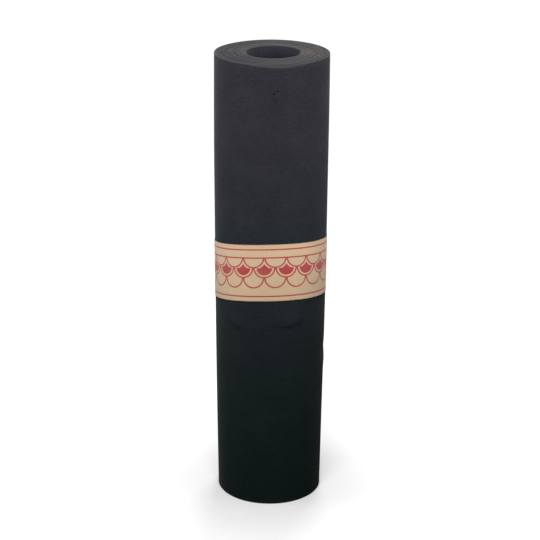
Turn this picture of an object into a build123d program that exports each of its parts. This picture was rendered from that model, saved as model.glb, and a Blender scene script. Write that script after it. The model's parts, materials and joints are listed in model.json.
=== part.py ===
"""Roll of roofing felt, standing on one end and held by a paper band.

The felt is one long sheet wound on itself without a core, so it is one turned solid with
its bore. Its turns show on both ends, where groups of them have slid along the axis, and
each end of the sheet shows as a step of one thickness: inside the bore and down the back.
Millimetres, +Z up. The origin is on the floor, on the axis. The front faces -Y.
"""

import os
from math import ceil, cos, degrees, radians, sin

from build123d import *

# The sheet of felt
SHEET_WIDTH = 914.4  # 36 in, which is also the length of the roll
FELT_PITCH = 0.65  # one turn's share of the wall: the felt and the air wound in with it
TURNS = 88

# The winding
BORE_DIAMETER = 101.6  # left by the 4 in mandrel that the felt was wound on
TURNS_PER_STEP = 6  # turns that have slid along the axis together
SLIP_RANGE = 2.4  # the furthest that a group of turns has slid
SLIP_SHUFFLE = 0.645  # each group's slide, as a share of the range past its neighbour's
RIM_ROUND = 1.0  # wear on the outer corners of both ends

# The two ends of the sheet. The turns are whole, so both ends lie at one angle from +X
SHEET_END_ANGLE = 118.0  # behind the roll, to the left
OUTER_END_RUN = 60.0  # arc past the outer end where the turn below comes out to the full radius
INNER_END_RUN = 25.0  # arc before the inner end where the turn above comes in to the bore

# The paper band
BAND_WIDTH = 116.5
BAND_MIDDLE = 484.0  # height of its middle on the axis
BAND_RIGHT_UP = 3.0  # degrees that it sits askew, its right-hand side up
BAND_FRONT_UP = 8.0  # degrees that it sits askew, its front up
PAPER = 0.25
BAND_CLEARANCE = 0.1  # between the paper and the felt
BAND_LAP = 30.0  # arc that the glued ends share
BAND_END_ANGLE = 55.0  # its outer end, behind the roll, to the right

BORE_RADIUS = BORE_DIAMETER / 2
ROLL_RADIUS = BORE_RADIUS + TURNS * FELT_PITCH
BAND_RADIUS = ROLL_RADIUS + BAND_CLEARANCE


def polar(radius, angle):
    """The point at that distance from the axis and that angle, in degrees from +X."""
    return (radius * cos(radians(angle)), radius * sin(radians(angle)))


def wound_steps():
    """Inner radius, outer radius and slide of each group of turns, from the outside in."""
    steps = []
    for number in range(ceil(TURNS / TURNS_PER_STEP)):
        outer = ROLL_RADIUS - number * TURNS_PER_STEP * FELT_PITCH
        inner = max(BORE_RADIUS, outer - TURNS_PER_STEP * FELT_PITCH)
        steps.append((inner, outer, SLIP_RANGE * (number * SLIP_SHUFFLE % 1)))
    return steps


def end_line(height):
    """The stepped line across one end, from the outside in, at that height of the sheet."""
    return [(r, height + slide) for inner, outer, slide in wound_steps() for r in (outer, inner)]


def turned_roll():
    """The wall's section, stepped alike at both ends of the sheet, turned about the axis."""
    outline = Polyline(*end_line(0), *reversed(end_line(SHEET_WIDTH)), close=True)
    section = make_face(outline)
    rim_corners = section.vertices().group_by(Axis.X)[-1]
    section = fillet(rim_corners, RIM_ROUND)
    return revolve(Plane.XZ * section, Axis.Z)


def sheet_end(radius, depth, angle, run):
    """The thin wedge beside an end of a wound sheet, outside or inside that radius: one
    thickness deep at the end's own edge, and gone where the next turn has come level. It
    runs counter-clockwise from the end, or clockwise where the run is negative."""
    far = angle + degrees(run / radius)
    middle = (angle + far) / 2
    edge = Line(polar(radius, angle), polar(radius + depth, angle))
    climb = ThreePointArc(edge @ 1, polar(radius + depth / 2, middle), polar(radius, far))
    surface = ThreePointArc(climb @ 1, polar(radius, middle), edge @ 0)
    return make_face([edge, climb, surface])


def felt_roll():
    """The turned roll, with a bare wedge beside each end of the sheet along its whole length."""
    outer_end = sheet_end(ROLL_RADIUS, -FELT_PITCH, SHEET_END_ANGLE, OUTER_END_RUN)
    inner_end = sheet_end(BORE_RADIUS, FELT_PITCH, SHEET_END_ANGLE, -INNER_END_RUN)
    return turned_roll() - extrude(outer_end + inner_end, SHEET_WIDTH + SLIP_RANGE)


def paper_band():
    """A strip glued into a ring, its outer end lapped over the other, trimmed to sit askew."""
    outside = BAND_RADIUS + PAPER
    lap = sheet_end(outside, PAPER, BAND_END_ANGLE, BAND_LAP)
    strip = extrude(Circle(outside) - Circle(BAND_RADIUS) + lap, BAND_WIDTH + outside, both=True)
    trim = Rot(-BAND_FRONT_UP, -BAND_RIGHT_UP, 0) * Box(4 * outside, 4 * outside, BAND_WIDTH)
    return Pos(0, 0, BAND_MIDDLE) * (strip & trim)


os.makedirs("parts", exist_ok=True)
for name, piece in {"felt_roll": felt_roll(), "paper_band": paper_band()}.items():
    export_step(piece, f"parts/{name}.step")
    print(name, "volume", round(piece.volume), "mm3")
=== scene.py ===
# %% [markdown]
# # A roll of roofing felt
# Roofing felt is a thick paper soaked with asphalt. It is sold as one long sheet wound on itself,
# stood on its end and held by a strip of kraft paper glued around its middle. The solids give its
# size and place. These cells give it the look: the turns of the sheet, the paper and the finishes.

# %% Load the solids
import json
import math

import bmesh
import bpy
from mathutils import Matrix, Vector, noise


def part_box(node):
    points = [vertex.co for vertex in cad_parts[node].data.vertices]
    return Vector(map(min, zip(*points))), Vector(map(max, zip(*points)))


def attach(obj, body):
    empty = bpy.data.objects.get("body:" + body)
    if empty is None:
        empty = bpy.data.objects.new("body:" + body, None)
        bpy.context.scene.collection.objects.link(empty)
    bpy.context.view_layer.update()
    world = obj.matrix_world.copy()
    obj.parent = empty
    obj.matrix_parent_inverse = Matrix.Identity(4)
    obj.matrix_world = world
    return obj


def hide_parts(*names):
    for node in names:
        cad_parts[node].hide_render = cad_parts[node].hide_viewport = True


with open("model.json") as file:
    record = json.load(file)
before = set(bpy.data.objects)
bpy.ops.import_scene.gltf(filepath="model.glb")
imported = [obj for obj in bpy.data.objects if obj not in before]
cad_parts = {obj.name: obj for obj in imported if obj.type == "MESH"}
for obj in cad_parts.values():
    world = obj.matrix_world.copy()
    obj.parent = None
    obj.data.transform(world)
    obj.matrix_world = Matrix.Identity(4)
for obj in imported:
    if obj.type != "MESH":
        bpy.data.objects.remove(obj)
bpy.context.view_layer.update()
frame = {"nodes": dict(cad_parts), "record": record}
print("solids", sorted(frame["nodes"]))

# %% [markdown]
# ## Measures
# The main sizes are read from the solids or their record, so the dressed pieces sit where the
# solids are. The bore is stated there as a mount, with its radius and its length, and the length
# of the bore is the width of the sheet. A box around a solid doesn't tell how many turns it has,
# where its sheet ends or how far its band leans, so those few values are written again.

# %% Measures of the roll and the band
bore = next(mount for mount in frame["record"]["mounts"] if mount["name"] == "bore")
MM = 0.001
BORE_RADIUS = bore["dims"]["r_mm"] * MM
SHEET_WIDTH = bore["dims"]["length_mm"] * MM
roll_low, roll_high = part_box("felt_roll")
ROLL_RADIUS = (roll_high.x - roll_low.x) / 2
TURNS = 88
PITCH = (ROLL_RADIUS - BORE_RADIUS) / TURNS
SHEET_END_ANGLE = math.radians(118)

band_low, band_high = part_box("paper_band")
BAND_MIDDLE = (band_low.z + band_high.z) / 2
BAND_WIDTH = 116.5 * MM
BAND_RIGHT_UP = math.tan(math.radians(3.0))
BAND_FRONT_UP = math.tan(math.radians(8.0))
PAPER = 0.25 * MM
print(f"pitch {PITCH / MM:.3f} mm, sheet {TURNS * math.pi * (ROLL_RADIUS + BORE_RADIUS):.1f} m long")
print(f"band at {BAND_MIDDLE / MM:.1f} mm")

# %% [markdown]
# ## Camera
# The roll was photographed from above its top and from some way off, so its sides draw together only
# slightly towards the floor. The lens and the sensor are given in millimetres. The picture is
# square, and the camera is turned a little about its own axis, which gives the roll its slight lean.

# %% Camera
CAMERA_PLACE = Vector((0, -3.2, 1.6465))
CAMERA_PAN = math.radians(0.014)
CAMERA_DOWN = math.radians(20.186)
CAMERA_ROLL = math.radians(0.402)
CAMERA_LENS = 113.34
CAMERA_SENSOR = 36
camera = bpy.data.objects.new("camera", bpy.data.cameras.new("camera"))
camera.data.lens = CAMERA_LENS
camera.data.sensor_width = CAMERA_SENSOR
turned = Matrix.Rotation(CAMERA_PAN, 4, "Z") @ Matrix.Rotation(math.pi / 2 - CAMERA_DOWN, 4, "X")
camera.matrix_world = Matrix.Translation(CAMERA_PLACE) @ turned @ Matrix.Rotation(CAMERA_ROLL, 4, "Z")
bpy.context.scene.collection.objects.link(camera)
bpy.context.scene.camera = camera
print("camera", tuple(camera.location), "lens", camera.data.lens)

# %% [markdown]
# ## The shape that felt takes
# A wound roll is never a true cylinder. Its turns have eased out a little, most of all at its upper
# end and in the middle of its length, and each side has slow hollows and a few dents from handling.
# A sculpting brush could make them, but one function that gives the swelling for any angle and
# height lets the felt and the paper around it follow the same surface. Each dent is a bell curve,
# with its place, its reach and its depth. One with a depth below zero is a bulge: below the band,
# which squeezes it, the felt bags out in two places that end in a broken crease.

# %% Swelling of the roll
LOOSE_ALL = 0.9 * MM
LOOSE_TOP = 3.2 * MM
SWELL_MIDDLE = 2.3 * MM
SWELL_SLOW = 0.6 * MM
SLOW_AROUND, SLOW_UP = 1.1, 3.1
DENTS = (  # angle in degrees, height, reach around, reach up, reach down and depth in millimetres
    (-138, 393, 11, 24, 6, -2.0),
    (-126, 387, 13, 24, 6, -2.0),
    (-144, 372, 9, 12, 6, -1.4),
    (-84, 398, 10, 20, 6, -1.1),
    (-72, 393, 14, 24, 6, -1.8),
    (-60, 399, 12, 24, 6, -1.6),
    (-101, 360, 14, 9, 7, 0.6),
    (-60, 348, 16, 10, 7, 0.6),
    (-8, 311, 30, 12, 12, 0.9),
    (-8, 284, 30, 16, 16, -0.9),
)


def dented(angle, height):
    """How deep the handling dents are at that angle and height."""
    depth = 0
    for dent_angle, dent_height, reach_around, reach_up, reach_down, dent_depth in DENTS:
        aside = math.remainder(angle - math.radians(dent_angle), 2 * math.pi) * ROLL_RADIUS / MM
        above = height / MM - dent_height
        reach = reach_up if above > 0 else reach_down
        depth += dent_depth * MM * math.exp(-(aside / reach_around) ** 2 - (above / reach) ** 2)
    return depth


def swelling(angle, height):
    """How far the outside of the roll stands off its true radius at that angle and height."""
    share = min(max(height / SHEET_WIDTH, 0), 1)
    barrel = LOOSE_ALL + LOOSE_TOP * (2 * share - 1) + SWELL_MIDDLE * 4 * share * (1 - share)
    x, y = SLOW_AROUND * math.cos(angle), SLOW_AROUND * math.sin(angle)
    slow = SWELL_SLOW * noise.noise(Vector((x, y, SLOW_UP * height / SHEET_WIDTH)))
    return barrel + slow - dented(angle, height)


spots = [(math.radians(angle), SHEET_WIDTH * row / 20) for angle in range(0, 360, 10) for row in range(21)]
swells = [swelling(angle, height) for angle, height in spots]
print(f"swelling from {min(swells) / MM:.2f} to {max(swells) / MM:.2f} mm")

# %% [markdown]
# ## The slide of the turns
# When a roll is wound and dropped on its end, groups of turns slide along the axis. On both ends
# they show as low rings, and a slope of a few turns leads from one ring to the next. The sheet is
# equally wide everywhere, so what a turn stands proud at the top it lacks at the bottom. A turn
# number with a fraction says where on the winding a point is. Because the slide depends on that
# number alone, it runs on from one turn into the next.

# %% Slide of a turn
TURNS_PER_STEP = 6
SLIDE_RANGE = 2.4 * MM
SLIDE_SHUFFLE = 0.645
SLOPE_TURNS = 2.5
SLIDE_RAGGED = 0.16 * MM
RAGGED_PACE, RAGGED_LINE = 0.9, 4.2


def step_slide(step):
    """The slide of a group of turns, counted from the outside in. The outermost stands on the floor."""
    return SLIDE_RANGE * (max(step, 0) * SLIDE_SHUFFLE % 1)


def slide(turn):
    """How far the sheet has slid up at that turn, counted from the bore."""
    steps_in = (TURNS - turn) / TURNS_PER_STEP
    step = math.floor(steps_in)
    ease = min(1, (steps_in - step) * TURNS_PER_STEP / SLOPE_TURNS)
    group = step_slide(step - 1) + (step_slide(step) - step_slide(step - 1)) * ease
    ragged = SLIDE_RAGGED * (0.5 + 0.5 * noise.noise(Vector((turn * RAGGED_PACE, RAGGED_LINE, 0))))
    return group + ragged * min(1, steps_in)


print("slides in mm", [round(slide(turn) / MM, 2) for turn in range(0, TURNS + 1, 8)])

# %% [markdown]
# ## The wound sheet
# A spiral could be a curve with a screw, or a long ribbon bent point by point. Both make far too
# many hidden faces. Here only the skin is made. A rectangle is the section through the wall. Its
# two short edges are cut into one tooth for each turn, and the whole outline is spun once round the
# axis. Pushing every point out by a share of one pitch, growing with its angle, makes each tooth
# meet the next one at the seam. Once the doubles there are merged, it is a true spiral. The rows of
# the side lie closer together below the band, where the felt is creased.

# %% Section through the wall
GROOVE_SHARE = 0.24
GROOVE_DEPTH = 0.4 * MM
SIDE_ROWS = 140
BORE_ROWS = 24
TEETH = TURNS - 1
TOOTH_POINTS = 3
ROW_PACKING = 85 * MM
PACKED_ROW = 430 * MM


def packed(height):
    """Moves the rows of the side closer together below the band, where the felt is creased."""
    turn = 2 * math.pi / SHEET_WIDTH
    return height - ROW_PACKING * (math.sin((height - PACKED_ROW) * turn) + math.sin(PACKED_ROW * turn))


def toothed_section(shape):
    """The outline of the wall's section at angle 0, with one tooth a turn on both short edges."""
    near, far = BORE_RADIUS, BORE_RADIUS + TEETH * PITCH
    places = ((near, 0, 0), (far, 0, 0), (far, 0, SHEET_WIDTH), (near, 0, SHEET_WIDTH))
    corners = [shape.verts.new(place) for place in places]
    edges = [shape.edges.new((corners[i - 1], corners[i])) for i in (1, 2, 3, 0)]
    floor_edge, side, top_edge, bore_side = edges
    points = TOOTH_POINTS * TEETH
    counts = ((floor_edge, points), (top_edge, points), (side, SIDE_ROWS), (bore_side, BORE_ROWS))
    for edge, pieces in counts:
        bmesh.ops.subdivide_edges(shape, edges=[edge], cuts=pieces - 1)
    for vert in shape.verts:
        if vert.co.x > far - MM / 10:
            vert.co.z = packed(vert.co.z)
    for height, inward in ((0, 1), (SHEET_WIDTH, -1)):
        line = [vert for vert in shape.verts if abs(vert.co.z - height) < MM]
        for number, vert in enumerate(sorted(line, key=lambda vert: vert.co.x)):
            if number % TOOTH_POINTS == 0:
                vert.co.z += inward * GROOVE_DEPTH
            else:
                apart = 1 if number % TOOTH_POINTS == 2 else -1
                vert.co.x += (1 / TOOTH_POINTS - GROOVE_SHARE / 2) * PITCH * apart


felt_mesh = bmesh.new()
toothed_section(felt_mesh)
print("section", len(felt_mesh.verts), "points")

# %% [markdown]
# The paper band crosses the end of the sheet and holds it down there, so its line is needed before
# the felt is wound. It sits askew, with its front and its right side up. It also bows a little, which
# lifts its front and its back. A tilted plane and a wave around the roll give both.

# %% Line of the band
BAND_RISE = 2.1 * MM
BAND_BOW = 3.3 * MM
BAND_BOW_ANGLE = math.radians(-98)


def band_height(angle):
    """The height of the band's middle at that angle."""
    askew = BAND_RIGHT_UP * math.cos(angle) - BAND_FRONT_UP * math.sin(angle)
    bow = BAND_RISE + BAND_BOW * math.cos(2 * (angle - BAND_BOW_ANGLE))
    return BAND_MIDDLE + ROLL_RADIUS * askew + bow


print(f"the front of the band is {band_height(-math.pi / 2) / MM:.1f} mm up")

# %% [markdown]
# The outermost turn takes the knocks. Its corner is worn round at both ends, and at the front of
# the top it is crushed to a slope, as if the roll had been set down on it.

# %% Worn and crushed rim
RIM_ROUND = 1.0 * MM
RIM_CRUSH = 5.2 * MM
RIM_CRUSH_SLOPE = 1.3
RIM_CRUSH_ANGLE = math.radians(-83)
RIM_CRUSH_REACH = math.radians(46)


def smooth(share):
    """0 to 1 with level ends."""
    share = min(max(share, 0), 1)
    return share * share * (3 - 2 * share)


def rim_drop(turn, angle, at_top):
    """How far the corner of an end is rubbed away at that turn: rounded, or crushed to a slope."""
    inside = (TURNS - turn) * PITCH
    short = max(0, RIM_ROUND - inside)
    rounded = RIM_ROUND - math.sqrt(RIM_ROUND ** 2 - short ** 2)
    aside = abs(math.remainder(angle - RIM_CRUSH_ANGLE, 2 * math.pi))
    crush = RIM_CRUSH * smooth(1 - aside / RIM_CRUSH_REACH) if at_top else 0
    return max(rounded, crush - inside * RIM_CRUSH_SLOPE)


print(f"the front of the top rim drops {rim_drop(TURNS, RIM_CRUSH_ANGLE, True) / MM:.1f} mm")

# %% [markdown]
# The last stretch of the sheet, which only the paper band holds down, springs a little off the turn
# below it. The innermost turns have been pressed outwards instead: towards the top, the bore has
# opened a little to the right.

# %% Free end and opened bore
FREE_END_LIFT = 0.9 * MM
FREE_END_TURN = 0.06
FREE_END_HELD = 70 * MM
BORE_OPENING = 2.4 * MM
BORE_OPENS_ABOVE = 600 * MM


def free_end_lift(turn, height):
    """How far the last stretch of the sheet stands off, away from the band that holds it."""
    from_band = abs(height - band_height(SHEET_END_ANGLE)) - BAND_WIDTH / 2
    return FREE_END_LIFT * smooth(1 - (TURNS - turn) / FREE_END_TURN) * smooth(from_band / FREE_END_HELD)


def bore_opening(angle, height):
    """How far the innermost turn has moved out at that angle and height."""
    up = smooth((height - BORE_OPENS_ABOVE) / (SHEET_WIDTH - BORE_OPENS_ABOVE))
    return BORE_OPENING * (1 + math.cos(angle)) * up


print(f"the free end lifts {free_end_lift(TURNS, 0) / MM:.1f} mm")
print(f"the bore opens {bore_opening(0, SHEET_WIDTH) / MM:.1f} mm")

# %% [markdown]
# The outline is now spun. The last ring of a full spin lies on the first one, so its angle can't
# be read from its place: the operator hands that ring back, and it counts as one whole turn. The
# swelling fades out halfway into the wall, and the opening of the bore fades towards the outside.

# %% Spin and wind
SPIN_STEPS = 120
MERGE_WITHIN = 0.005 * MM


def place_on_winding(vert, around):
    """Moves a point of the plain spin to its turn, with the slide, the worn rim and the swelling."""
    turn = (math.hypot(vert.co.x, vert.co.y) - BORE_RADIUS) / PITCH + around
    angle = SHEET_END_ANGLE + 2 * math.pi * around
    at_top = vert.co.z > SHEET_WIDTH / 2
    at_end = min(vert.co.z, SHEET_WIDTH - vert.co.z) < 2 * GROOVE_DEPTH
    if at_end:
        vert.co.z -= rim_drop(turn, angle, at_top) * (1 if at_top else -1)
    outward = max(0, 2 * turn / TURNS - 1)
    eased = outward ** 2 * swelling(angle, vert.co.z) + (1 - turn / TURNS) * bore_opening(angle, vert.co.z)
    radius = BORE_RADIUS + turn * PITCH + eased + free_end_lift(turn, vert.co.z)
    vert.co = (radius * math.cos(angle), radius * math.sin(angle), vert.co.z + slide(turn))


def wind(shape):
    """Spins the section once and moves every point to its place on the winding."""
    outline = shape.verts[:] + shape.edges[:]
    spun = bmesh.ops.spin(shape, geom=outline, cent=(0, 0, 0), axis=(0, 0, 1), angle=2 * math.pi,
                          steps=SPIN_STEPS, use_merge=False)
    whole_turn = {part for part in spun["geom_last"] if isinstance(part, bmesh.types.BMVert)}
    for vert in shape.verts:
        spin_step = round(math.atan2(vert.co.y, vert.co.x) / (2 * math.pi) * SPIN_STEPS) % SPIN_STEPS
        place_on_winding(vert, 1 if vert in whole_turn else spin_step / SPIN_STEPS)
    bmesh.ops.remove_doubles(shape, verts=shape.verts[:], dist=MERGE_WITHIN)


wind(felt_mesh)
open_edges = [edge for edge in felt_mesh.edges if edge.is_boundary]
print("open edges at the two ends of the sheet", len(open_edges))

# %% [markdown]
# What is left open is the cut edge at each end of the sheet, as thick as one turn and as long as the
# roll is high. Each is a closed loop of open edges, so one operator fills both.

# %% Close the two ends of the sheet
bmesh.ops.holes_fill(felt_mesh, edges=open_edges, sides=0)
bmesh.ops.recalc_face_normals(felt_mesh, faces=felt_mesh.faces[:])
print("still open", sum(edge.is_boundary for edge in felt_mesh.edges), "volume in litres",
      round(felt_mesh.calc_volume() * 1000, 2))

# %% [markdown]
# The faces of the two ends get a material of their own, because the felt is cut there and shows
# its fibres. They are told from the sides by their height: a ring face is hardly taller than a
# groove, while a face of the side runs a whole row up the roll. The outermost few turns keep the
# darker face of the felt even at the ends, as a painted shade along the rim.

# %% The felt roll as an object
SIDE_FINISH, CUT_FINISH = 0, 1
RING_FACE = 6 * GROOVE_DEPTH
SHADED_RIM_TURNS = 3


def finished_piece(name, shape, smooth_below):
    """Makes an object at the origin from a bmesh, smooth where faces meet at less than that angle.
    Its open edges are sharp, because they are corners once a sheet has its thickness."""
    mesh = bpy.data.meshes.new(name)
    for face in shape.faces:
        face.smooth = True
    shape.edges.index_update()
    open_edges = [edge.index for edge in shape.edges if edge.is_boundary]
    shape.to_mesh(mesh)
    shape.free()
    mesh.set_sharp_from_angle(angle=smooth_below)
    for index in open_edges:
        mesh.edges[index].use_edge_sharp = True
    piece = bpy.data.objects.new(name, mesh)
    bpy.context.scene.collection.objects.link(piece)
    triangles = sum(len(face.vertices) - 2 for face in mesh.polygons)
    print(name, len(mesh.polygons), "faces", triangles, "triangles")
    return piece


for face in felt_mesh.faces:
    heights = [vert.co.z for vert in face.verts]
    is_ring = max(heights) - min(heights) < RING_FACE
    # The outermost turns keep the darker face finish at the ends: painted shade along the rim.
    is_outside = face.calc_center_median().xy.length > ROLL_RADIUS - SHADED_RIM_TURNS * PITCH
    face.material_index = CUT_FINISH if is_ring and not is_outside else SIDE_FINISH
felt_roll = finished_piece("wound_felt", felt_mesh, smooth_below=math.radians(35))

# %% [markdown]
# ## The paper band
# On the real roll the band is printed flat, cut to a strip, wrapped and glued with its ends
# lapped at the back. It is made in that order here. A grid is the flat strip, and its flat place
# is kept as the UV map that the print reads, in metres. Then each point is carried round the roll.
# The paper starts under its own lap and ends on top of it, and it leaves the felt a little along
# its edges, where nothing holds it down.

# %% Flat strip
BAND_CLEARANCE = 0.12 * MM
BAND_LAP = 30 * MM
BAND_END_ANGLE = math.radians(55)
BAND_RADIUS = ROLL_RADIUS + BAND_CLEARANCE
LAP_TURN = BAND_LAP / (BAND_RADIUS + PAPER)
STRIP_LENGTH = (2 * math.pi + LAP_TURN) * BAND_RADIUS
STRIP_COLUMNS, STRIP_ROWS = 220, 20


def flat_strip():
    """The strip as it was cut: its length along X, its width along Y, its middle at the origin."""
    shape = bmesh.new()
    bmesh.ops.create_grid(shape, x_segments=STRIP_COLUMNS, y_segments=STRIP_ROWS, size=0.5)
    bmesh.ops.scale(shape, vec=(STRIP_LENGTH, BAND_WIDTH, 1), verts=shape.verts[:])
    flat_map = shape.loops.layers.uv.new("flat")
    for face in shape.faces:
        for loop in face.loops:
            loop[flat_map].uv = (loop.vert.co.x + STRIP_LENGTH / 2, loop.vert.co.y + BAND_WIDTH / 2)
    return shape


band_mesh = flat_strip()
print(f"strip {STRIP_LENGTH / MM:.1f} by {BAND_WIDTH / MM:.1f} mm")

# %% Wrap the strip
EDGE_LIFT = 0.3 * MM
EDGE_CURL = 6
LOOSE_STRETCHES = 9
LAP_EASE = math.radians(4)


def wrap(vert):
    """Carries a point of the flat strip round the roll, from under the lap to on top of it."""
    along, across = vert.co.x / STRIP_LENGTH + 0.5, vert.co.y
    swept = along * (2 * math.pi + LAP_TURN)
    angle = BAND_END_ANGLE + LAP_TURN - swept
    on_top = smooth((swept - 2 * math.pi + LAP_EASE) / LAP_EASE)
    height = band_height(angle) + across
    edge = abs(across) / (BAND_WIDTH / 2)
    loose = 0.5 + 0.5 * noise.noise(Vector((LOOSE_STRETCHES * along, math.copysign(2, across), 0)))
    lift = EDGE_LIFT * edge ** EDGE_CURL * loose
    radius = BAND_RADIUS + swelling(angle, height) + lift + on_top * (PAPER + BAND_CLEARANCE)
    vert.co = (radius * math.cos(angle), radius * math.sin(angle), height)


for vert in band_mesh.verts:
    wrap(vert)
bmesh.ops.recalc_face_normals(band_mesh, faces=band_mesh.faces[:])
outward_face = max(band_mesh.faces, key=lambda face: face.calc_center_median().x)
if outward_face.normal.x < 0:
    bmesh.ops.reverse_faces(band_mesh, faces=band_mesh.faces[:])
paper_band = finished_piece("kraft_band", band_mesh, smooth_below=math.radians(40))
thickness = paper_band.modifiers.new("paper", "SOLIDIFY")
thickness.thickness = PAPER
thickness.offset = 1

# %% [markdown]
# ## Writing materials as sums
# A procedural finish is mostly arithmetic: a tone is one noise added to another, a print is a
# distance that is smaller than a radius. Such sums could be wired by hand in the node editor. The
# class below wraps a socket instead, so that a sum is written as Python and each operator adds its
# Math node.


# %% A socket that can be reckoned with
class Value:
    """One socket whose value changes over a surface. Arithmetic on it adds Math nodes."""

    def __init__(self, finish, socket):
        self.finish = finish
        self.socket = socket

    def math(self, operation, *others):
        """A Math node that starts from this value."""
        return self.finish.math(operation, self, *others)

    def __add__(self, other):
        return self.math("ADD", other)

    def __sub__(self, other):
        return self.math("SUBTRACT", other)

    def __rsub__(self, other):
        return self.finish.math("SUBTRACT", other, self)

    def __mul__(self, other):
        return self.math("MULTIPLY", other)

    def __truediv__(self, other):
        return self.math("DIVIDE", other)

    def __pow__(self, other):
        return self.math("POWER", other)

    def __abs__(self):
        return self.math("ABSOLUTE")

    __radd__ = __add__
    __rmul__ = __mul__

    def below(self, limit, soft):
        """1 where this is under the limit, 0 above it, with a soft edge of that width."""
        return self.between(limit + soft / 2, limit - soft / 2)

    def above(self, limit, soft):
        """1 where this is over the limit, 0 under it, with a soft edge of that width."""
        return self.between(limit - soft / 2, limit + soft / 2)

    def between(self, low, high):
        """0 at low and 1 at high, level outside, for low above high too."""
        sockets = {"Value": self, "From Min": low, "From Max": high}
        return self.finish.node("MapRange", {"interpolation_type": "SMOOTHSTEP"}, sockets)


print("helpers of a socket", [name for name in vars(Value) if not name.startswith("_")])

# %% [markdown]
# Every other node comes from one method, which sets the node's own settings first and then its
# sockets. It belongs to a finish, which is the node tree of a material, or of the sky, because that
# is made of nodes in the same way.


# %% A finish and its nodes
class Finish:
    """The nodes of one material, or of the sky, with the method that adds them."""

    def __init__(self, owner):
        owner.use_nodes = True
        self.owner = owner
        self.tree = owner.node_tree
        self.surface = self.tree.get_output_node("ALL").inputs["Surface"]
        self.shader = self.surface.links[0].from_node

    def node(self, kind, settings, sockets, out=0):
        """Adds a node, sets it and its sockets, and returns one of its outputs."""
        made = self.tree.nodes.new("ShaderNode" + kind)
        for name, value in settings.items():
            setattr(made, name, value)
        for name, value in sockets.items():
            self.feed(made.inputs[name], value)
        return Value(self, made.outputs[out])

    def feed(self, socket, value):
        """Links a value to a socket, or sets the socket to a plain number, colour or vector."""
        if isinstance(value, Value):
            self.tree.links.new(value.socket, socket)
        else:
            socket.default_value = (*value, 1) if socket.type == "RGBA" else value

    def math(self, operation, *values):
        """A Math node on values or plain numbers."""
        return self.node("Math", {"operation": operation}, dict(enumerate(values)))

    def mix(self, share, first, second, blend="MIX"):
        """A colour between two colours, or the first one blended with the second."""
        settings = {"data_type": "RGBA", "blend_type": blend}
        return self.node("Mix", settings, {0: share, 6: first, 7: second}, out=2)

    def tinted(self, first, second):
        """A colour times another colour."""
        return self.mix(1.0, first, second, blend="MULTIPLY")

    def object_place(self):
        """The place on the piece itself, in metres, which the piece takes along when it moves."""
        return self.node("TexCoord", {}, {}, out="Object")

    def parts_of(self, vector):
        """The X, Y and Z of a vector."""
        split = self.node("SeparateXYZ", {}, {0: vector})
        return [Value(self, socket) for socket in split.socket.node.outputs]

    def stretched(self, vector, scale):
        """A vector with each of its parts scaled by a number of its own."""
        return self.node("VectorMath", {"operation": "MULTIPLY"}, {0: vector, 1: scale})

    def grain(self, vector, scale, detail=2.0, rough=0.5):
        """Noise from about 0 to 1, around 0.5."""
        sockets = {"Vector": vector, "Scale": scale, "Detail": detail, "Roughness": rough}
        return self.node("TexNoise", {}, sockets)

    def bump(self, height, depth):
        """A normal for a surface that stands up by depth, in metres, where height is 1."""
        return self.node("Bump", {}, {"Height": height, "Distance": depth, "Strength": 1.0})

    def wear(self, **sockets):
        """Feeds the shader that the tree starts with. Its socket names are words joined by _."""
        for name, value in sockets.items():
            self.feed(self.shader.inputs[name.replace("_", " ")], value)


print("helpers of a finish", [name for name in vars(Finish) if not name.startswith("_")])

# %% [markdown]
# ## Felt, on its face
# Roofing felt is matte and charcoal black. Its rag fibres give it a fine grain, the rollers that
# squeeze out the asphalt leave faint streaks along the sheet, which go round the roll, and the
# asphalt dries to slow cloudy tones. Object coordinates carry all of it: a noise that is stretched
# far along X and Y and little along Z makes streaks that go round. The tint changes with the height:
# the foot is darker, as painted shade of the light that falls off towards the floor, and greenish,
# the middle is paler and bluish, and above it the felt is greyer with a little violet in it.
# Near the rim it is darker again.

# %% Felt tones
FELT_DARK = (0.0082, 0.0100, 0.0111)
FELT_PALE = (0.0206, 0.0232, 0.0266)
FOOT_TINT_AND_SHADE = (0.68, 1.12, 0.93)
MIDDLE_TINT = (1.24, 1.24, 1.30)
TOP_TINT = (1.21, 1.06, 1.16)
MIDDLE_HEIGHT = 0.65  # metres above the floor, as are the next four
TOP_LOW, TOP_HIGH = 0.57, 0.77
DARKER_LOW, DARKER_HIGH = 0.74, 0.90
DARKER_NEAR_TOP = 0.16
GRAIN_LEVEL = 0.625


def felt_tones(felt, place, height):
    """The colour of the clean felt, with painted shade at its foot, its relief, and the fibres alone."""
    streaks = felt.grain(felt.stretched(place, (5, 5, 420)), 1.0, detail=3)
    ripples = felt.grain(felt.stretched(place, (90, 90, 280)), 1.0, detail=2)
    clouds = felt.grain(place, 22, detail=3)
    mottle = felt.grain(place, 210, detail=3, rough=0.6)
    fibres = felt.grain(place, 900, detail=4, rough=0.7)
    specks = felt.grain(place, 2600, detail=1)
    grain = streaks * 0.2 + ripples * 0.5 + clouds * 0.45 + mottle * 0.5 + fibres * 0.4 + specks * 0.2
    # The tone is made darker near the top of the side.
    tone = grain - GRAIN_LEVEL - DARKER_NEAR_TOP * height.between(DARKER_LOW, DARKER_HIGH)
    # Painted shade: the foot tint makes the felt darker towards the floor.
    tint = felt.mix(height.between(0, MIDDLE_HEIGHT), FOOT_TINT_AND_SHADE, MIDDLE_TINT)
    tint = felt.mix(height.between(TOP_LOW, TOP_HIGH), tint, TOP_TINT)
    colour = felt.tinted(felt.mix(tone, FELT_DARK, FELT_PALE), tint)
    relief = fibres * 0.7 + specks * 0.3 + streaks * 0.1 + ripples * 0.3 + mottle * 0.3
    return colour, relief, fibres


print("clean felt from", FELT_DARK, "to", FELT_PALE)
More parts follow.
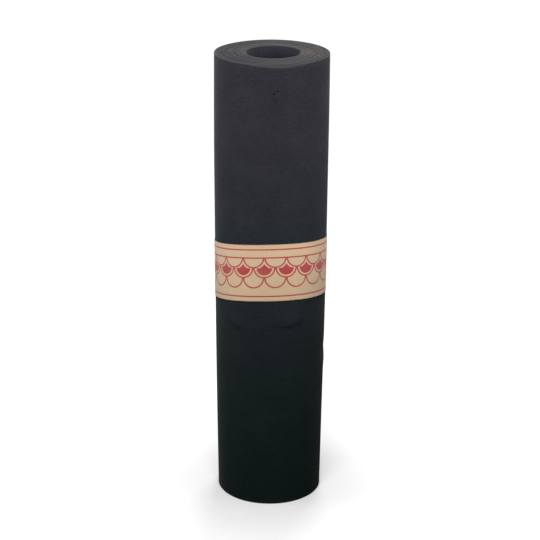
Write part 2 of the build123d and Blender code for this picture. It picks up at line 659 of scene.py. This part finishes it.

# %% [markdown]
# Handling leaves its marks on the plain felt. There are two small nicks near the top, darkened
# as painted shade of their hollows, and the slope of the crushed rim is scuffed grey. Each mark
# could be painted on an image, but a mask that is reckoned from the place has no resolution to run
# out of: a nick is a short distance from one point, made ragged by the grain, and the slope is what
# lies higher than a curve around the rim.

# %% Nicks and crushed rim
NICKS = (  # angle in degrees, height and reach in millimetres
    (-87.7, 860.4, 5.7),
    (-84.4, 864.9, 5.2),
)
NICK_RAGGED = 4


def from_nick(felt, place, angle, height):
    """The distance from a nick in the side of the roll, in millimetres."""
    radius = ROLL_RADIUS + swelling(angle, height)
    middle = (radius * math.cos(angle), radius * math.sin(angle), height)
    return felt.node("VectorMath", {"operation": "DISTANCE"}, {0: place, 1: middle}, out="Value") / MM


def nicked(felt, place, relief):
    """1 inside the nicks."""
    nick = 0.0
    for angle, height, reach in NICKS:
        distance = from_nick(felt, place, math.radians(angle), height * MM)
        nick = (distance + relief * NICK_RAGGED).below(reach, 1.2) + nick
    return nick


def crushed_rim(around, height):
    """1 on the slope that the top rim was crushed to at its front."""
    crush = (1 - abs(around - RIM_CRUSH_ANGLE) / RIM_CRUSH_REACH).between(0, 1) * (RIM_CRUSH / MM)
    return (crush + (height - SHEET_WIDTH) / MM).above(0, 0.8)


print(len(NICKS), "nicks")

# %% [markdown]
# The rest is dust and painted shade. Pale dust sits in a few specks and in a faint line around the
# foot. The lowest edge of the foot is darkened as painted shade, and so is the bore, the more the
# deeper it goes. Where the sheet ends, its cut edge shows as a pale line, and the crease beside it is
# darkened as painted shade. The angle around the axis gives the distance from that line.

# %% Felt face
FELT_SCUFFED = (0.032, 0.033, 0.035)
FELT_CRUSHED = (0.0205, 0.0200, 0.0208)
# the colour of the painted shade in the bore, at the lowest edge of the foot, in the end crease and in the
# nicks
FELT_PAINTED_SHADE = (0.0030, 0.0035, 0.0038)
FELT_CUT = (0.026, 0.0265, 0.028)
FELT_RELIEF = 0.35 * MM
SCUFF_LOW, SCUFF_HIGH, FOOT_EDGE = 4.0, 7.0, 2.5  # millimetres above the floor
CREASE_NEAR, CREASE_FAR, CUT_LINE = 0.6, 2.6, 0.7  # millimetres from the end of the sheet
BORE_WALL = 8 * MM
BORE_SHADE = 32  # millimetres below the top
NICK_SHADE = 0.65


def felt_face():
    """Charcoal felt, with its grain, the marks of handling and painted shade."""
    felt = Finish(bpy.data.materials.new("felt_face"))
    place = felt.object_place()
    x, y, z = felt.parts_of(place)
    colour, relief, fibres = felt_tones(felt, place, z)
    around = felt.math("ARCTAN2", y, x)
    patchy = felt.grain(place, 28, detail=3)
    dust = felt.grain(place, 330, detail=1).above(0.76, 0.06) * patchy.above(0.5, 0.2) * 0.5
    up = z / MM
    foot_scuff = up.above(SCUFF_LOW, 2.0) * up.below(SCUFF_HIGH, 3.0) * (0.12 + patchy * 0.4)
    colour = felt.mix(dust + foot_scuff, colour, FELT_SCUFFED)
    colour = felt.mix(crushed_rim(around, z), colour, FELT_CRUSHED)
    # Painted shade: the bore, darker the deeper it goes, and the lowest edge of the foot are darkened.
    in_bore = ((x * x + y * y) ** 0.5).below(BORE_RADIUS + BORE_WALL, 2 * MM)
    deep = ((SHEET_WIDTH - z) / MM).between(0, BORE_SHADE)
    under_foot = up.below(FOOT_EDGE, 2.0)
    colour = felt.mix(in_bore * (0.05 + 0.55 * deep) + under_foot * 0.5, colour, FELT_PAINTED_SHADE)
    # Painted shade in the crease beside the end of the sheet.
    past_end = (around - SHEET_END_ANGLE) * (ROLL_RADIUS / MM)
    crease = past_end.above(CREASE_NEAR, 0.4) * past_end.below(CREASE_FAR, 3.0)
    colour = felt.mix(crease * 0.9, colour, FELT_PAINTED_SHADE)
    colour = felt.mix(abs(past_end).below(CUT_LINE, 0.5) * 0.8, colour, FELT_CUT)
    # Painted shade in the hollows of the nicks.
    nick = nicked(felt, place, relief)
    felt.wear(Base_Color=felt.mix(nick * NICK_SHADE, colour, FELT_PAINTED_SHADE), Roughness=0.74 + 0.2 * fibres,
              Normal=felt.bump(relief - nick, FELT_RELIEF), Specular_IOR_Level=0.0,
              Sheen_Weight=0.08, Sheen_Roughness=0.35)
    return felt.owner


felt_roll.data.materials.append(felt_face())
print("felt face", len(felt_roll.data.materials[0].node_tree.nodes), "nodes")

# %% [markdown]
# ## Felt, where it is cut
# The slitting knife leaves the edge of the sheet paler than its face, with dust in the grooves
# between the turns. Bands of tone run round the end, because the sheet was not equally soaked
# along its length. A noise that reads the distance from the axis, and hardly anything else, makes
# such rings. To the right of the bore some of them are brownish, where the dry fibre shows. The back
# of the end is paler and its left darker, which is painted light and shade.

# %% Felt cut edge
CUT_DARK = (0.0066, 0.0066, 0.0072)
CUT_PALE = (0.0310, 0.0306, 0.0320)
CUT_BROWN = (0.034, 0.028, 0.0235)
CUT_RELIEF = 0.25 * MM
BORE_LIP = 14 * MM
RING_DRIFT = 0.02
BACK_PAINTED_LIGHT, LEFT_PAINTED_SHADE = 0.08, 0.18
BROWN_NEAR, BROWN_FAR, BROWN_ASIDE = 54 * MM, 88 * MM, 28 * MM


def felt_cut_edge():
    """The cut edge of the sheet, in rings of tone around the bore, with painted light at the back and
    painted shade at the left.
    """
    felt = Finish(bpy.data.materials.new("felt_cut_edge"))
    place = felt.object_place()
    x, y, _ = felt.parts_of(place)
    radius = (x * x + y * y) ** 0.5
    ring_place = felt.node("CombineXYZ", {}, {"X": radius, "Y": x * RING_DRIFT, "Z": y * RING_DRIFT})
    rings = felt.grain(ring_place, 190, detail=2, rough=0.6)
    fine_rings = felt.grain(ring_place, 1200, detail=1)
    fibres = felt.grain(place, 1300, detail=3, rough=0.7)
    dust = felt.grain(place, 30, detail=2)
    lip = radius.below(BORE_RADIUS + BORE_LIP, BORE_LIP) * dust.above(0.35, 0.3)
    # Painted light at the back of the end and painted shade at its left.
    painted_light_and_shade = y.above(0.03, 0.08) * BACK_PAINTED_LIGHT - x.below(-0.02, 0.08) * LEFT_PAINTED_SHADE
    tone = rings * 1.1 + fine_rings * 0.35 + fibres * 0.35 + lip * 0.24 + painted_light_and_shade - 0.41
    beside_bore = x.above(BROWN_NEAR, 0.02) * x.below(BROWN_FAR, 0.03) * abs(y).below(BROWN_ASIDE, 0.04)
    brown = felt.grain(ring_place, 120, detail=2).above(0.42, 0.3) * beside_bore
    colour = felt.mix(tone, CUT_DARK, CUT_PALE)
    felt.wear(Base_Color=felt.mix(brown * 0.7, colour, CUT_BROWN), Roughness=0.85 + 0.1 * fibres,
              Normal=felt.bump(fibres, CUT_RELIEF), Specular_IOR_Level=0.05)
    return felt.owner


felt_roll.data.materials.append(felt_cut_edge())
print("cut edge", len(felt_roll.data.materials[1].node_tree.nodes), "nodes")

# %% [markdown]
# ## The print on the band
# The print is one red ink. It is a frieze of rounded shingles, a common roofing ornament, which
# hangs from a line between two ruled ones and repeats around the band. An image could carry it, but
# it is simple enough to reckon from the flat map: a shingle is a half disc that hangs from the top
# of its row, and every second row is moved by half a shingle. Those of the middle row are inked all
# over, and their shoulders show between the shingles of the row above.

# %% Shingle print
SHINGLE = 42 * MM
SHINGLE_ROWS = 3
INK_LINE = 2.8 * MM
INK_EDGE = 0.5 * MM
BODY_ROW, BODY_GAP = 1, 2.2 * INK_LINE
SHOULDER_ROW, SHOULDER_GAP = 2, 1.2 * INK_LINE
RULE_INSET = 10 * MM


def shingle_print(paper, along, across):
    """1 where the frieze and its rules are inked."""
    row_height = SHINGLE / 2
    frieze_low = (BAND_WIDTH - SHINGLE_ROWS * row_height) / 2
    rows_up = (across - frieze_low) / row_height
    row = rows_up.math("FLOOR")
    hang = (1 - rows_up.math("FRACT")) * row_height
    shift = row.math("MODULO", 2) * (SHINGLE / 2)
    aside = (along + shift).math("PINGPONG", SHINGLE / 2)
    reach = (aside * aside + hang * hang) ** 0.5
    outline = abs(reach - SHINGLE / 2 + INK_LINE / 2).below(INK_LINE / 2, INK_EDGE)
    within = rows_up.above(0, 0.02) * rows_up.below(SHINGLE_ROWS, 0.02)
    body = reach.below(SHINGLE / 2 - BODY_GAP, INK_EDGE) * abs(row - BODY_ROW).below(0.5, 0.1)
    shoulder = reach.above(SHINGLE / 2 + SHOULDER_GAP, INK_EDGE) * abs(row - SHOULDER_ROW).below(0.5, 0.1)
    solid = body.math("MAXIMUM", shoulder)
    from_edge = across.math("PINGPONG", BAND_WIDTH / 2)
    rules = abs(from_edge - RULE_INSET).below(INK_LINE / 2, INK_EDGE)
    hung_from = abs(rows_up - SHINGLE_ROWS).below(INK_LINE / row_height / 2, INK_EDGE / row_height)
    return (outline.math("MAXIMUM", solid) * within).math("MAXIMUM", rules).math("MAXIMUM", hung_from)


print(f"{STRIP_LENGTH / SHINGLE:.1f} shingles in a row")

# %% [markdown]
# ## Kraft paper
# Kraft is unbleached, so it is brown, with darker flecks, and its long fibres lie along the strip. A
# noise that is stretched along the flat map makes them. The long edges of the paper are a little
# dirty, and the dark line at the end of its lap is painted shade of that edge. The ink is thin, so the
# grain of the paper shows through it.

# %% Kraft paper
KRAFT = (0.581, 0.418, 0.267)
KRAFT_DARK = (0.443, 0.304, 0.178)
INK = (0.354, 0.026, 0.036)
EDGE_DIRT_AND_SHADE = 1.5  # millimetres from the edge
PAPER_RELIEF = 0.08 * MM


def kraft_paper():
    """Brown paper, with its fibres, its dirt and its print."""
    paper = Finish(bpy.data.materials.new("kraft_paper"))
    flat = paper.node("UVMap", {"uv_map": "flat"}, {})
    along, across, _ = paper.parts_of(flat)
    clouds = paper.grain(flat, 45, detail=3)
    fibres = paper.grain(paper.stretched(flat, (260, 1100, 1)), 1.0, detail=3, rough=0.65)
    flecks = paper.grain(paper.stretched(flat, (500, 1500, 1)), 1.0, detail=1).above(0.7, 0.08)
    from_edge = across.math("PINGPONG", BAND_WIDTH / 2).math("MINIMUM", STRIP_LENGTH - along)
    # Dirt along the long edges; at the end of the lap the dark line is painted shade of that edge.
    edge_dirt_and_shade = (from_edge / MM).below(EDGE_DIRT_AND_SHADE, EDGE_DIRT_AND_SHADE)
    mottle = paper.grain(paper.stretched(flat, (240, 420, 1)), 1.0, detail=2)
    shade = clouds * 0.5 + mottle * 0.7 + fibres * 0.7 - 0.7 + flecks * 0.35 + edge_dirt_and_shade * 0.5
    ink = shingle_print(paper, along, across)
    worn_ink = ink * (0.92 + 0.3 * fibres - 0.25 * clouds)
    paper_colour = paper.mix(shade, KRAFT, KRAFT_DARK)
    paper.wear(Base_Color=paper.mix(worn_ink, paper_colour, INK), Roughness=0.62 + 0.2 * fibres,
               Normal=paper.bump(fibres, PAPER_RELIEF), Specular_IOR_Level=0.3,
               Sheen_Weight=0.15, Sheen_Roughness=0.5)
    return paper.owner


paper_band.data.materials.append(kraft_paper())
print("kraft paper", len(paper_band.data.materials[0].node_tree.nodes), "nodes")

# %% [markdown]
# ## Stage and light
# The floor is plain and white to the camera and keeps the soft shadow of the roll, but it throws
# back little light, so the lower half of the dark felt stays dark. A lit floor alone would be grey
# near the roll and white far off, so a glow that grows with the distance is added to what the
# camera sees, and only the shadow beside the foot is left.

# %% Floor
FLOOR_SIZE = 40.0
FLOOR_REACH = 3.5
FLOOR_SHOWN = (0.35, 0.35, 0.35)
FLOOR_PLAIN = (0.06, 0.06, 0.06)
FLOOR_WHITE = (  # distance from the middle, and the glow there
    (0.100, 0.0), (0.107, 0.36), (0.18, 0.46), (0.26, 0.59),
    (0.34, 0.66), (0.5, 0.76), (0.8, 0.92), (1.5, 1.0),
)
RAYS_SEEN = ("Is Camera Ray", "Is Glossy Ray", "Is Transmission Ray")


def seen_directly(finish):
    """1 for a ray from the camera, or one that a shiny or clear surface sends on."""
    camera_ray, glossy_ray, clear_ray = [finish.node("LightPath", {}, {}, out=name) for name in RAYS_SEEN]
    return camera_ray.math("MAXIMUM", glossy_ray).math("MAXIMUM", clear_ray)


def white_floor():
    """Shows white with the shadow in it, and lights its surroundings as a grey floor would."""
    ground = Finish(bpy.data.materials.new("white_floor"))
    reach = ground.node("VectorMath", {"operation": "LENGTH"}, {0: ground.object_place()}, out="Value")
    whiteness = ground.node("ValToRGB", {}, {0: reach / FLOOR_REACH})
    stops = whiteness.socket.node.color_ramp.elements
    stops.remove(stops[1])
    for distance, white in FLOOR_WHITE:
        stops.new(distance / FLOOR_REACH).color = (white, white, white, 1)
    stops.remove(stops[0])
    shown = ground.node("BsdfDiffuse", {}, {"Color": FLOOR_SHOWN})
    glow = ground.node("Emission", {}, {"Color": whiteness})
    lit = ground.node("AddShader", {}, {0: shown, 1: glow})
    plain = ground.node("BsdfDiffuse", {}, {"Color": FLOOR_PLAIN})
    choice = ground.node("MixShader", {}, {0: seen_directly(ground), 1: plain, 2: lit})
    ground.feed(ground.surface, choice)
    return ground.owner


floor_mesh = bmesh.new()
bmesh.ops.create_grid(floor_mesh, x_segments=1, y_segments=1, size=FLOOR_SIZE / 2)
floor = finished_piece("floor", floor_mesh, smooth_below=math.radians(30))
floor.data.materials.append(white_floor())
print("floor", FLOOR_SIZE, "m across")

# %% [markdown]
# The sky is white to the camera and a weak grey to everything else. A white sky alone would light the
# roll from all sides, and its dark felt would turn grey.

# %% Sky
WHITE = (1, 1, 1)
SKY_LIGHT = 0.06


def white_sky():
    """White to the camera, and a plain grey light to all else."""
    sky = Finish(bpy.data.worlds.new("sky"))
    sky.wear(Color=WHITE, Strength=SKY_LIGHT)
    light = Value(sky, sky.shader.outputs[0])
    shown = sky.node("Background", {}, {"Color": WHITE})
    sky.feed(sky.surface, sky.node("MixShader", {}, {0: seen_directly(sky), 1: light, 2: shown}))
    return sky.owner


bpy.context.scene.world = white_sky()
print("sky lights the roll with a strength of", SKY_LIGHT)

# %% [markdown]
# Four soft lamps stand above the roll. The key lamp, in front, lights the top, the upper part of
# the side and the band. Two weaker ones bring out the left and right edges. They are narrow and aim
# high, so that the foot stays dark. The last lights the back.

# %% Lamps
LAMP_SIZE = 0.6


def soft_lamp(name, place, aim, power, spread=110):
    """A square area lamp that faces a point, with its power in watts and its spread in degrees."""
    lamp = bpy.data.objects.new(name, bpy.data.lights.new(name, "AREA"))
    lamp.data.size = LAMP_SIZE
    lamp.data.spread = math.radians(spread)
    lamp.data.energy = power
    lamp.location = place
    lamp.rotation_euler = (Vector(aim) - Vector(place)).to_track_quat("-Z", "Y").to_euler()
    lamp.visible_camera = False
    bpy.context.scene.collection.objects.link(lamp)


soft_lamp("key", (-0.1, -0.85, 1.8), (0, 0, 0.85), 15.7)
soft_lamp("left", (-0.95, -0.1, 1.5), (0, 0, 0.85), 2.45, spread=66)
soft_lamp("right", (0.95, -0.2, 1.6), (0, 0, 0.88), 2.2, spread=44)
soft_lamp("back", (0.2, 1.1, 1.6), (0, 0, 0.6), 11)

# %% [markdown]
# ## Hand the pieces over
# Each piece rides on the one body of the roll and stands for its solid, which is hidden. Colours are
# shown as they are written.

# %% Hand over
dressed = ((felt_roll, "felt_roll", "asphalt_felt"), (paper_band, "paper_band", "kraft_paper"))
for piece, node, slot in dressed:
    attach(piece, "root")
    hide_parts(node)
print("handed over", [piece.name for piece, _, _ in dressed])

# %% Colours as written
bpy.context.scene.view_settings.view_transform = "Standard"
print("view transform", bpy.context.scene.view_settings.view_transform)
